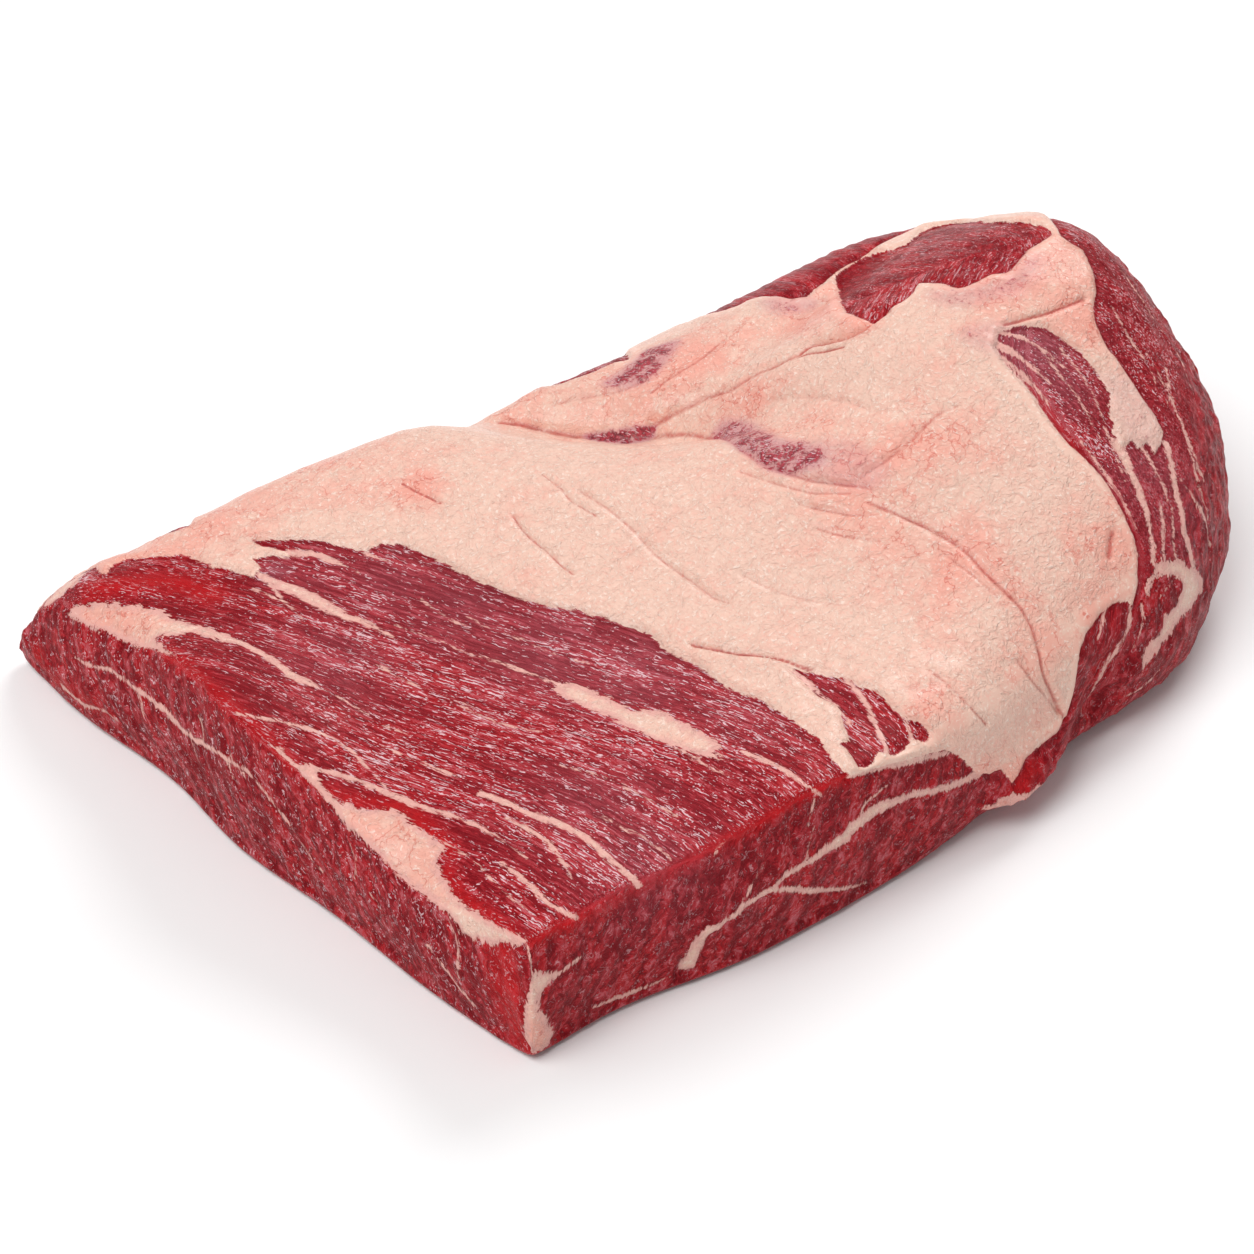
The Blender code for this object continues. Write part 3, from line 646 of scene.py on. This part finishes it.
def measure(line, places, normals, reach):
    """For the places within reach of a line, what lies nearest on it.

    Gives their indices, the signed distance (above 0 on the left of the line,
    so inside a closed one), and how far along the line, in metres.
    """
    points, line_normals = line
    steps = np.diff(points, axis=0)
    steps /= np.maximum(np.linalg.norm(steps, axis=1, keepdims=True), 1e-9)
    if np.allclose(points[0], points[-1]):
        before, after = np.vstack([steps[-1:], steps]), np.vstack([steps, steps[:1]])
    else:
        before, after = np.vstack([steps[:1], steps]), np.vstack([steps, steps[-1:]])
    bends = before + after
    low = points.min(axis=0) - reach
    high = points.max(axis=0) + reach
    chosen = np.nonzero(((places > low) & (places < high)).all(axis=1))[0]
    start = points[:-1]
    run = points[1:] - start
    run_squared = np.maximum((run ** 2).sum(axis=1), 1e-12)
    lengths = np.concatenate([[0.0], np.cumsum(np.sqrt(run_squared))])
    signed = np.zeros(len(chosen))
    along = np.zeros(len(chosen))
    chunk = max(int(PAIRS_AT_ONCE / len(start)), 1)
    for first in range(0, len(chosen), chunk):
        part = chosen[first:first + chunk]
        arm = places[part][:, None, :] - start[None]
        share = np.clip((arm * run).sum(axis=2) / run_squared, 0.0, 1.0)
        gap = arm - share[..., None] * run
        squared = (gap ** 2).sum(axis=2)
        best = squared.argmin(axis=1)
        rows = np.arange(len(part))
        near_gap = gap[rows, best]
        where = share[rows, best][:, None]
        heading = np.where(
            where <= 0.0, bends[best], np.where(where >= 1.0, bends[best + 1], steps[best]),
        )
        side = np.cross(heading, near_gap)
        facing = line_normals[best] + normals[part]
        sign = np.where((side * facing).sum(axis=1) >= 0.0, 1.0, -1.0)
        signed[first:first + chunk] = sign * np.sqrt(squared[rows, best])
        along[first:first + chunk] = lengths[best] + share[rows, best] * np.sqrt(run_squared[best])
    return chosen, signed, along, lengths[-1]


class Markings:
    """What the lines say about each place: distances in millimetres."""

    def __init__(self, skin, lines, places, normals):
        self.skin = skin
        self.lines = lines
        self.places = places
        self.normals = normals
        self.count = len(places)
        under = (normals[:, 2] < -0.5) | (places[:, 2] < 2.0 * MM)
        self.wall = 1.0 - smooth_step(np.abs(normals[:, 2]), *CUT_BELOW)
        self.cap = self.inside("cap", reach=0.5)
        for name in LEAN_WINDOWS:
            self.cap = np.minimum(self.cap, -self.inside(name, reach=0.03))
        self.cap[under] = -FAR
        self.crease = np.full(self.count, FAR)
        for name in CREASES:
            self.crease = np.minimum(self.crease, self.near("crease " + name, reach=0.006))
        self.patch = np.full(self.count, -FAR)
        for name in FAT_PATCHES:
            self.patch = np.maximum(self.patch, self.inside(name, reach=0.008))
        self.fat = np.maximum(self.cap, self.patch)
        self.streak = np.full(self.count, -FAR)
        for name, widths, _ in each_streak():
            self.streak = np.maximum(self.streak, self.band(name, widths, reach=0.007))

    def measured(self, name, reach):
        return measure(self.lines[name], self.places, self.normals, reach)

    def inside(self, name, reach):
        """How far each place is inside a closed line, below 0 outside it."""
        field = np.full(self.count, -PER_METRE * reach)
        chosen, signed, _, _ = self.measured(name, reach)
        field[chosen] = np.maximum(signed * PER_METRE, -PER_METRE * reach)
        return field

    def band(self, name, widths, reach):
        """Half the width that a streak has at each place, less the distance."""
        field = np.full(self.count, -PER_METRE * reach)
        chosen, signed, along, length = self.measured(name, reach)
        half = np.interp(along / length, (0.0, 0.5, 1.0), widths) / 2.0
        field[chosen] = half - np.abs(signed) * PER_METRE
        return field

    def near(self, name, reach):
        """How far each place is from a line."""
        field = np.full(self.count, PER_METRE * reach)
        chosen, signed, _, _ = self.measured(name, reach)
        field[chosen] = np.abs(signed) * PER_METRE
        return field

    def glow(self, spots):
        """Soft round spots, each a centre, a radius and a strength."""
        field = np.zeros(self.count)
        for centre, radius, strength in spots:
            middle = np.array(self.skin.place(centre))
            gap = np.linalg.norm(self.places - middle, axis=1) * PER_METRE
            field = np.maximum(field, strength * bell(gap, radius))
        return field


def each_streak():
    """The name, widths and points of every streak of fat."""
    for where, streaks in FAT_STREAKS.items():
        for index, (widths, *points) in enumerate(streaks):
            yield f"{where} {index}", widths, points


def lay_lines(skin):
    """Every line, laid on the surface."""
    lines = {"cap": skin.line(CAP, closed=True, step=0.005)}
    for group in (LEAN_WINDOWS, FAT_PATCHES):
        for name, points in group.items():
            lines[name] = skin.line(points, closed=True)
    for name, _, points in each_streak():
        lines[name] = skin.line(points)
    for kind, group in (("crease ", CREASES), ("stain ", STAINS), ("rim ", RIMS)):
        for name, (_, *points) in group.items():
            lines[kind + name] = skin.line(points, closed=group is STAINS)
    lines["point grain"] = skin.line(POINT_GRAIN, step=0.006)
    return lines


def mesh_arrays(mesh):
    """Places and normals of a bmesh's vertices."""
    mesh.normal_update()
    places = np.array([vertex.co for vertex in mesh.verts])
    normals = np.array([vertex.normal for vertex in mesh.verts])
    return places, normals


def grid_foot(mesh, step):
    """Turns the flat foot into one face and cuts that into a grid."""
    foot = [
        face for face in mesh.faces
        if face.normal.z < -0.999 and face.calc_center_median().z < 0.1 * MM
    ]
    foot = bmesh.ops.dissolve_faces(mesh, faces=foot, use_verts=True)["region"]
    for axis in (0, 1):
        low, high = CAD_LOW[axis], CAD_HIGH[axis]
        for index in range(1, int((high - low) / step)):
            geometry = set(foot)
            for face in foot:
                geometry.update(face.edges)
                geometry.update(face.verts)
            at, normal = Vector(), Vector()
            at[axis] = low + index * step
            normal[axis] = 1.0
            cut = bmesh.ops.bisect_plane(
                mesh, geom=list(geometry), dist=1e-6, plane_co=at, plane_no=normal,
            )
            foot = [item for item in cut["geom"] if isinstance(item, bmesh.types.BMFace)]
    return foot


def smooth_shell(node, foot_step):
    """The CAD solid as one smooth mesh of quads."""
    mesh = bmesh.new()
    mesh.from_mesh(node.data)
    bmesh.ops.remove_doubles(mesh, verts=mesh.verts, dist=0.02 * MM)
    mesh.normal_update()
    foot = set(grid_foot(mesh, foot_step))
    bmesh.ops.join_triangles(
        mesh, faces=[face for face in mesh.faces if face not in foot],
        angle_face_threshold=math.radians(60),
        angle_shape_threshold=math.radians(60), cmp_seam=False, cmp_sharp=False,
        cmp_uvs=False, cmp_vcols=False, cmp_materials=False,
    )
    data = bpy.data.meshes.new("shell")
    mesh.to_mesh(data)
    mesh.free()
    shell = bpy.data.objects.new("shell", data)
    bpy.context.scene.collection.objects.link(shell)
    smooth = shell.modifiers.new("smooth", "SUBSURF")
    smooth.levels = smooth.render_levels = 1
    evaluated = shell.evaluated_get(bpy.context.evaluated_depsgraph_get())
    mesh = bmesh.new()
    mesh.from_mesh(evaluated.to_mesh())
    evaluated.to_mesh_clear()
    bpy.data.objects.remove(shell)
    bpy.data.meshes.remove(data)
    return mesh


def cut_long_edges(mesh, longest):
    """Halves each edge that is longer than its ends allow."""
    mesh.verts.ensure_lookup_table()
    mesh.verts.index_update()
    edges = []
    for edge in mesh.edges:
        first, second = edge.verts
        if edge.calc_length() > min(longest[first.index], longest[second.index]):
            edges.append(edge)
    bmesh.ops.subdivide_edges(mesh, edges=edges, cuts=1, use_grid_fill=True)


def flow_of_grain(marks):
    """Coordinates along and across the fibres, in millimetres."""
    x, y, z = (marks.places * PER_METRE).T
    bend_at = GRAIN_BENDS_AT_Y * PER_METRE
    past = np.maximum(bend_at - y, 0.0)
    run = GRAIN_SLOPE * y - GRAIN_BEND * past ** 2 / (2.0 * GRAIN_BEND_LENGTH * PER_METRE)
    flow = np.stack([-y, x - run, z], axis=1)
    normal = marks.normals
    wall = np.abs(normal[:, 2]) < WALL_BELOW
    cut_end = wall & (normal[:, 0] < -FACES_END)
    flow[cut_end] = np.stack([z, y - CUT_END_LEAN * z, x], axis=1)[cut_end]
    near = wall & (normal[:, 1] < -FACES_SIDE) & ~cut_end
    flow[near] = np.stack([z, x - NEAR_SIDE_LEAN * z, y], axis=1)[near]
    far = wall & (normal[:, 1] > FACES_SIDE) & ~cut_end
    across = x - FAR_SIDE_LEAN * z + FAR_SIDE_OFFSET
    flow[far] = np.stack([z * 0.8 + x * 0.4, across, y], axis=1)[far]
    chosen, signed, along, _ = marks.measured("point grain", reach=1.0)
    point = np.zeros(marks.count, bool)
    point[chosen] = signed < 0.0
    point &= (marks.places[:, 0] > POINT_GRAIN_FROM) & (marks.places[:, 2] > 1.0 * MM)
    point &= marks.cap < 3.0
    full = np.zeros((marks.count, 3))
    offset = np.full_like(signed, POINT_OFFSET)
    full[chosen] = np.stack([along * PER_METRE, signed * PER_METRE, offset], axis=1)
    flow[point] = full[point]
    return flow


def carve(marks, flow, sizes):
    """How far each place moves out along its normal, in metres."""
    depth = -sizes.lip * (1.0 - smooth_step(marks.cap, *LIP_SPAN))
    depth -= GROOVE * MM * bell(marks.cap + GROOVE_AT, GROOVE_WIDTH)
    depth += STREAK_HEIGHT * MM * smooth_step(marks.streak, *STREAK_SPAN)
    fat_share = smooth_step(np.maximum(marks.fat, marks.streak), *FAT_SPAN)
    lumps = np.zeros(marks.count)
    fibres = np.zeros(marks.count)
    for index, place in enumerate(marks.places):
        at = Vector(place)
        lumps[index] = sum(
            share * noise.noise(at * waves + Vector(offset)) for waves, share, offset in LUMP_WAVES
        )
        if fat_share[index] < 0.99:
            u, v, w = flow[index]
            fibres[index] = sum(
                share * noise.noise(Vector((u / length, v / thick, w / thick)))
                for length, thick, share in FIBRE_WAVES
            )
    for name, ((deep, wide, _), *_) in CREASES.items():
        gap = marks.near("crease " + name, reach=0.015)
        depth -= deep * MM * bell(gap, wide) * np.clip(0.8 + 0.9 * lumps, 0.2, 1.2)
    depth += sizes.lumps * (lumps - 0.5) * (0.6 + 0.4 * fat_share)
    depth += sizes.grain * fibres * (1.0 - fat_share) * (1.0 + 1.2 * marks.wall)
    for name in ("cut end", "near side"):
        ridge = bell(marks.near("rim " + name, reach=0.012), RIDGE_WIDTH)
        depth += (RIDGE_HEIGHT + RIDGE_LUMPS * lumps) * MM * ridge * (1.0 - fat_share)
    foot = smooth_step(marks.places[:, 2] * PER_METRE, *FOOT_FADE)
    return depth * foot


def store(data, name, values):
    """Keeps a number or a vector for each vertex, for the finish to read."""
    kind, field = ("FLOAT_VECTOR", "vector") if values.ndim == 2 else ("FLOAT", "value")
    layer = data.attributes.new(name, kind, "POINT")
    layer.data.foreach_set(field, values.astype(np.float32).ravel())


class Value:
    """A number inside a finish; sums on it become Math nodes."""

    def __init__(self, finish, socket):
        self.finish = finish
        self.socket = socket

    def math(self, operation, *others):
        sockets = {0: self}
        sockets.update({index + 1: other for index, other in enumerate(others)})
        return self.finish.add("ShaderNodeMath", {"operation": operation}, sockets)

    def __add__(self, other):
        return self.math("ADD", other)

    __radd__ = __add__

    def __mul__(self, other):
        return self.math("MULTIPLY", other)

    __rmul__ = __mul__

    def __sub__(self, other):
        return self.math("SUBTRACT", other)

    def __rsub__(self, other):
        return self.math("MULTIPLY_ADD", -1.0, other)

    def most(self, other):
        return self.math("MAXIMUM", other)

    def least(self, other):
        return self.math("MINIMUM", other)

    def step(self, low, high):
        """0 below low, 1 above high, and an even curve between."""
        return self.finish.add(
            "ShaderNodeMapRange", {"interpolation_type": "SMOOTHSTEP"},
            {"Value": self, "From Min": low, "From Max": high},
        )

    def ridge(self, centre, low, high):
        """1 nearer to the centre than low, and 0 farther from it than high."""
        return 1 - (self - centre).math("ABSOLUTE").step(low, high)


class Finish:
    """A material and the few ways its nodes are made."""

    def __init__(self, name):
        self.material = bpy.data.materials.new(name)
        self.material.use_nodes = True
        self.tree = self.material.node_tree
        self.shader = self.tree.nodes["Principled BSDF"]

    def add(self, kind, settings=None, sockets=None, out=0):
        node = self.tree.nodes.new(kind)
        for name, value in (settings or {}).items():
            setattr(node, name, value)
        for name, value in (sockets or {}).items():
            self.plug(node.inputs[name], value)
        return Value(self, node.outputs[out])

    def plug(self, socket, value):
        if isinstance(value, Value):
            self.tree.links.new(value.socket, socket)
        elif isinstance(value, (tuple, list)) or hasattr(value, "r"):
            value = tuple(value)
            size = len(socket.default_value)
            socket.default_value = (value + (1.0,))[:size]
        else:
            socket.default_value = value

    def mark(self, name, out=2):
        """A number kept on the mesh; out 1 is a vector."""
        return self.add("ShaderNodeAttribute", {"attribute_name": name}, out=out)

    def scaled(self, vector, factors):
        return self.add(
            "ShaderNodeVectorMath", {"operation": "MULTIPLY"}, {0: vector, 1: factors},
        )

    def bent(self, vector, bend, reach):
        """Coordinates that a noise pushes about, so that lines on them curl."""
        push = self.scaled(bend, reach)
        return self.add("ShaderNodeVectorMath", {"operation": "ADD"}, {0: vector, 1: push})

    def noise(self, vector, scale, detail, roughness, out=0):
        return self.add(
            "ShaderNodeTexNoise", {},
            {"Vector": vector, "Scale": scale, "Detail": detail, "Roughness": roughness}, out,
        )

    def grained(self, vector, factors, detail, roughness):
        """Noise with a scale of its own along each direction."""
        return self.noise(self.scaled(vector, factors), 1.0, detail, roughness)

    def cells(self, vector, scale, feature="F1"):
        return self.add(
            "ShaderNodeTexVoronoi", {"feature": feature}, {"Vector": vector, "Scale": scale},
        )

    def mix(self, share, first, second):
        """From the first colour to the second."""
        node = self.tree.nodes.new("ShaderNodeMix")
        node.data_type = "RGBA"
        self.plug(node.inputs[0], share)
        self.plug(node.inputs[6], first)
        self.plug(node.inputs[7], second)
        return Value(self, node.outputs[2])

    def bump(self, height, distance):
        sockets = {"Height": height, "Distance": distance, "Strength": 1.0}
        return self.add("ShaderNodeBump", {}, sockets)

    def out(self, **sockets):
        for name, value in sockets.items():
            self.plug(self.shader.inputs[name.replace("_", " ")], value)


def beef_finish(colours):
    """Lean, fat and what lies between, from the marks; lengths are in millimetres."""
    finish = Finish("raw beef")
    place = finish.scaled(
        finish.add("ShaderNodeTexCoord", out=3), (PER_METRE, PER_METRE, PER_METRE),
    )
    grain = finish.mark("grain", out=1)
    cap, patch, streak, wall, marbling, stain, blush, film, rim, crease, seam = (
        finish.mark(name) for name in MARKS
    )

    # The border between fat and lean frays, more along the grain.
    curl = finish.noise(place, 0.16, 2.0, 0.5, out=1)
    top_flow = finish.bent(grain, curl, (3.0, 2.2, 2.2))
    curled = finish.bent(grain, curl, (8.0, 8.0, 8.0))
    fray = finish.grained(top_flow, (0.16, 0.90, 0.90), 4.0, 0.70) - 0.5
    ragged = finish.noise(place, 0.14, 3.0, 0.6) - 0.5
    border = cap + fray * 3.0 + ragged * 2.0
    is_cap = border.step(-0.24, 0.26)
    is_patch = (patch + fray * 7.5 + ragged * 7.0).step(-0.30, 0.35)
    is_streak = (streak + fray * 4.6 + ragged * 2.5).step(-0.35, 0.40)
    is_fat = is_cap.most(is_patch).most(is_streak)

    # Lean: fibres along the grain on top, short curled bundles on the cuts.
    fibre = finish.grained(top_flow, (0.055, 1.00, 1.00), 4.0, 0.72)
    strand = finish.grained(curled, (0.16, 0.28, 0.28), 4.0, 0.72)
    bands = finish.grained(grain, (0.018, 0.11, 0.11), 2.0, 0.5)
    mottle = finish.noise(place, 0.34, 3.0, 0.65)
    weave = fibre + wall * (strand - fibre)
    tone = weave * 0.80 + bands * 0.20
    lean = finish.mix(bands.step(0.46, 0.62) * 0.60, colours.lean, colours.bright_lean)
    # The dark and pale lean follow the fibres' relief: partly the lean's own tone, partly painted
    # shade between the fibres and painted light on the raised ones.
    lean = finish.mix(tone.step(0.43, 0.560), colours.dark_lean_and_shade, lean)
    lean = finish.mix(tone.step(0.535, 0.64) * (0.72 - 0.10 * wall), lean, colours.pale_and_lit_lean)
    reddened = (rim * (0.30 + 0.9 * weave) + (mottle - 0.5) * rim).least(0.9)
    lean = finish.mix(reddened, lean, colours.bright_lean)
    # Painted sheen, with a thin membrane: the violet film dulls the lean.
    lean = finish.mix(film * (weave - 0.2), lean, colours.film)

    # White flecks, partly marbling and partly painted glints: dashes on top, painted curled glints
    # on the cuts, and painted glint dots on both.
    dash = finish.grained(top_flow, (0.21, 1.60, 1.60), 2.0, 0.6)
    curled_glint_noise = finish.grained(curled, (0.20, 0.60, 0.60), 1.0, 0.5)
    dashes = (dash + (bands - 0.5) * 0.3).step(0.600, 0.655)
    curled_glints = curled_glint_noise.ridge(0.5, 0.004, 0.030) * mottle.step(0.49, 0.56)
    dot = finish.cells(finish.scaled(grain, (0.42, 0.62, 0.62)), 1.0)
    glint_dots = (1 - dot.step(0.11, 0.20)) * (mottle + bands).step(0.92, 1.02)
    flecks_and_glints = (dashes + wall * (curled_glints - dashes)).most(glint_dots) * (1 - 0.5 * rim) * marbling
    lean = finish.mix(flecks_and_glints * 0.85, lean, colours.fleck_and_glint)
    # Painted shadow: a thin line of lean just outside the cap's border is darkened, as if under
    # the lip.
    lean = finish.mix(cap.ridge(-0.9, 0.0, 1.0) * 0.35, lean, colours.dark_lean_and_shade)

    # Fat: cream, pinker by the lean and in blotches, with fine red veins and wrinkles, painted
    # glints on the wrinkles' tops, a painted highlight along the border, and creases red and
    # darkened as painted shade.
    blotch = finish.noise(place, 0.045, 4.0, 0.6)
    swirl = finish.noise(finish.bent(place, curl, (9.0, 9.0, 9.0)), 0.20, 4.0, 0.62)
    pink = blush * 0.85 + (blotch - 0.50) * 1.7 + (swirl - 0.5) * 1.0
    fat = finish.mix(pink.step(-0.05, 0.95), colours.fat, colours.pink_fat)
    fat = finish.mix(swirl.ridge(0.5, 0.0, 0.09) * (0.05 + 0.32 * blush), fat, VEIN_HAZE)
    drift = finish.noise(place, 0.10, 3.0, 0.6, out=1)
    warp = finish.bent(place, drift, (22.0, 22.0, 22.0))
    veins = 1 - finish.cells(warp, 0.052, "DISTANCE_TO_EDGE").step(0.0, 0.030)
    veins = veins * (blush * 1.2 + (blotch - 0.5) * 1.6).step(0.05, 0.8)
    fat = finish.mix(veins * 0.60, fat, VEIN)
    crinkle = finish.noise(finish.bent(place, curl, (5.0, 5.0, 5.0)), 0.75, 2.0, 0.6)
    # Painted glints on the tops of the wrinkles.
    fat = finish.mix(crinkle.step(0.57, 0.68) * 0.55, fat, FAT_GLINT)
    fat = finish.mix((1 - crinkle.step(0.34, 0.44)) * 0.40, fat, colours.pink_fat)
    # Painted highlight: the fat just inside the cap's border is lighter, a lit rim along the lip.
    lip_highlight = border.ridge(0.55, 0.0, 0.5) * (1 - blush.least(1.0))
    fat = finish.mix(lip_highlight * 0.30, fat, LIP_HIGHLIGHT)
    # Creases are red and darkened as painted shade.
    crease_red_and_shade = (crease * (0.30 + 1.4 * swirl)).step(0.12, 0.85)
    fat = finish.mix(crease_red_and_shade * 0.80, fat, CREASE_RED_AND_SHADE)

    # Stains break up into threads at their borders.
    threads = (swirl - 0.5) * 2.0 + (crinkle - 0.5) * 1.6
    stained = (stain * 0.9 + threads).step(0.50, 1.05) * stain.step(0.1, 0.5)
    blood = finish.mix(crinkle.step(0.42, 0.60), STAIN_DARK, STAIN_RED)
    fat = finish.mix(stain.step(0.0, 0.9) * 0.62, fat, STAIN_EDGE)
    fat = finish.mix(stained * 0.92, fat, blood)
    # The marbling flecks and painted glints show on the stains too.
    fat = finish.mix(stained * flecks_and_glints * 0.8, fat, colours.fleck_and_glint)

    # Thin streaks are pinker, as the lean shows through them.
    deep = (patch * 0.9 - 0.5).most(streak)
    streak_fat = finish.mix(
        (deep + fray * 5.0 + (mottle - 0.5) * 6.0).step(0.2, 3.2), colours.thin_fat, fat
    )
    fat = finish.mix(is_cap, streak_fat, fat)
    colour = finish.mix(is_fat, lean, fat)

    # Relief too fine for the mesh; a seam in the grain has none.
    fat_height = (swirl - 0.5) * 1.9 + (crinkle - 0.5) * 0.95
    lean_height = (weave - 0.5) * (1.2 + 1.5 * wall)
    height = (lean_height + is_fat * (fat_height - lean_height)) * (1 - seam)
    finish.out(
        Base_Color=colour, Roughness=0.50 - 0.26 * mottle, Normal=finish.bump(height, 0.85 * MM),
        Coat_Weight=0.04 + 0.18 * is_fat, Coat_Roughness=0.12, IOR=1.38,
        Specular_IOR_Level=0.11,
    )
    return finish.material


class BEEF_OT_carve_brisket(bpy.types.Operator):
    """Makes the brisket: its relief, its fat and lean, and their finish"""

    bl_idname = "beef.carve_brisket"
    bl_label = "Carve the brisket"

    def execute(self, context):
        sizes = context.scene.beef_sizes
        mesh = smooth_shell(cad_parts["brisket"], sizes.foot_cell)
        skin = Skin(mesh)
        lines = lay_lines(skin)
        for _ in range(REFINE_ROUNDS):
            places, normals = mesh_arrays(mesh)
            marks = Markings(skin, lines, places, normals)
            longest = np.where(marks.fat > DEEP_FAT, sizes.fat_cell, sizes.cell)
            fine = (
                (np.abs(marks.streak) < NEAR_STREAK) | (np.abs(marks.fat) < NEAR_BORDER)
                | (marks.crease < NEAR_CREASE)
            )
            longest = np.where(fine, sizes.streak_cell, longest)
            longest = np.where(normals[:, 2] < -FACES_DOWN, sizes.foot_cell, longest)
            cut_long_edges(mesh, longest)
        for _ in range(SMOOTH_ROUNDS):
            bmesh.ops.smooth_vert(
                mesh, verts=mesh.verts, factor=0.5,
                use_axis_x=True, use_axis_y=True, use_axis_z=True,
            )
        for x, y, radius in SOFT_CORNERS:
            near = [
                vertex for vertex in mesh.verts
                if math.hypot(vertex.co.x - x, vertex.co.y - y) < radius
            ]
            for _ in range(CORNER_ROUNDS):
                bmesh.ops.smooth_vert(
                    mesh, verts=near, factor=0.5, use_axis_x=True, use_axis_y=True
                )
        places, normals = mesh_arrays(mesh)
        marks = Markings(skin, lines, places, normals)
        flow = flow_of_grain(marks)
        moved = places + normals * carve(marks, flow, sizes)[:, None]
        moved = np.clip(moved, np.array(CAD_LOW), np.array(CAD_HIGH))
        for vertex, place in zip(mesh.verts, moved):
            vertex.co = place
        bmesh.ops.triangulate(mesh, faces=mesh.faces)
        data = bpy.data.meshes.new("brisket meat")
        mesh.to_mesh(data)
        mesh.free()
        self.keep_marks(data, marks, flow)
        data.shade_smooth()
        data.materials.append(beef_finish(context.scene.beef_colours))
        meat = bpy.data.objects.new("brisket_meat", data)
        context.scene.collection.objects.link(meat)
        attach(meat, "root")
        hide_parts("brisket")
        print("triangles", len(data.polygons))
        return {"FINISHED"}

    def keep_marks(self, data, marks, flow):
        """Stores the grain and the marks on the mesh."""
        store(data, "grain", flow)
        point = (marks.places[:, 0] > POINT_FINISH_FROM) & (flow[:, 2] == POINT_OFFSET)
        wall = np.where(point, POINT_WALL, marks.wall)
        marbling = 1.0 - 0.15 * wall
        # The near side, in shade, gets fewer flecks and glints: painted shade.
        marbling[(marks.normals[:, 1] < -FACES_SIDE) & ~point] = NEAR_MARBLING_AND_GLINTS
        marbling[point] = POINT_MARBLING_AND_GLINTS
        marbling[marks.places[:, 2] > TOP_HEIGHT] = TOP_MARBLING_AND_GLINTS
        ends = np.empty(2 * len(data.edges), dtype=np.int32)
        data.edges.foreach_get("vertices", ends)
        ends = ends.reshape(-1, 2)
        turns = np.abs(flow[ends[:, 0]] - flow[ends[:, 1]]).max(axis=1) > GRAIN_JUMP
        seam, stain, rim, crease = np.zeros((4, marks.count))
        seam[ends[turns].ravel()] = 1.0
        for name, ((strength, soft), *_) in STAINS.items():
            inner = marks.inside("stain " + name, reach=0.03)
            stain = np.maximum(stain, strength * smooth_step(inner, -2.2 * soft, soft))
        for name, (wide, *_) in RIMS.items():
            gap = marks.near("rim " + name, reach=0.03)
            rim = np.maximum(rim, bell(gap, wide))
        # How red the crease is, and how darkened as painted shade.
        for name, ((_, wide, red_and_shade), *_) in CREASES.items():
            gap = marks.near("crease " + name, reach=0.015)
            crease = np.maximum(crease, red_and_shade * bell(gap, 0.6 * wide))
        blush, film = marks.glow(BLUSHES), marks.glow(FILMS_AND_SHEEN)
        fields = (
            marks.cap, marks.patch, marks.streak, wall, marbling, stain, blush, film, rim, crease,
            seam,
        )
        for name, values in zip(MARKS, fields):
            store(data, name, values)


class BEEF_OT_set_stage(bpy.types.Operator):
    """Sets the floor, the lights and the camera"""

    bl_idname = "beef.set_stage"
    bl_label = "Set the stage"

    def execute(self, context):
        light = context.scene.studio_light
        bpy.ops.mesh.primitive_plane_add(size=12.0, location=(0.0, 0.0, -0.0005))
        floor = context.object
        floor.name = "floor"
        finish = Finish("floor")
        finish.out(Base_Color=light.floor, Roughness=0.8)
        floor.data.materials.append(finish.material)
        world = bpy.data.worlds.new("studio")
        world.use_nodes = True
        sky = world.node_tree.nodes["Background"]
        sky.inputs["Color"].default_value = (1.0, 1.0, 1.0, 1.0)
        sky.inputs["Strength"].default_value = light.sky
        context.scene.world = world
        self.lamp("key", light.key, size=2.0, place=(-1.45, -0.15, 2.60))
        self.lamp("side", light.side, size=1.6, place=(1.90, 0.80, 2.00))
        eye, _, _, back = camera_axes()
        data = bpy.data.cameras.new("camera")
        data.lens = LENS
        data.sensor_width = SENSOR
        camera = bpy.data.objects.new("camera", data)
        camera.location = eye
        camera.rotation_euler = (-back).to_track_quat("-Z", "Y").to_euler()
        context.scene.collection.objects.link(camera)
        context.scene.camera = camera
        context.scene.view_settings.view_transform = "Standard"
        return {"FINISHED"}

    def lamp(self, name, power, size, place):
        data = bpy.data.lights.new(name, "AREA")
        data.shape = "DISK"
        data.size = size
        data.energy = power
        lamp = bpy.data.objects.new(name, data)
        lamp.location = place
        lamp.rotation_euler = (-Vector(place)).to_track_quat("-Z", "Y").to_euler()
        bpy.context.scene.collection.objects.link(lamp)


class BEEF_PT_brisket(bpy.types.Panel):
    bl_label = "Brisket"
    bl_space_type = "VIEW_3D"
    bl_region_type = "UI"
    bl_category = "Brisket"

    def draw(self, context):
        layout = self.layout
        scene = context.scene
        for group in (scene.beef_sizes, scene.beef_colours, scene.studio_light):
            for name in group.bl_rna.properties.keys():
                if name not in ("rna_type", "name"):
                    layout.prop(group, name)
        layout.operator(BEEF_OT_carve_brisket.bl_idname)
        layout.operator(BEEF_OT_set_stage.bl_idname)


CLASSES = (
    BeefSizes, BeefColours, StudioLight, BEEF_OT_carve_brisket, BEEF_OT_set_stage,
    BEEF_PT_brisket,
)


def register():
    for item in CLASSES:
        bpy.utils.register_class(item)
    bpy.types.Scene.beef_sizes = PointerProperty(type=BeefSizes)
    bpy.types.Scene.beef_colours = PointerProperty(type=BeefColours)
    bpy.types.Scene.studio_light = PointerProperty(type=StudioLight)


def unregister():
    del bpy.types.Scene.beef_sizes
    del bpy.types.Scene.beef_colours
    del bpy.types.Scene.studio_light
    for item in reversed(CLASSES):
        bpy.utils.unregister_class(item)


def main():
    register()
    bpy.ops.beef.set_stage()
    bpy.ops.beef.carve_brisket()


if __name__ == "__main__":
    main()
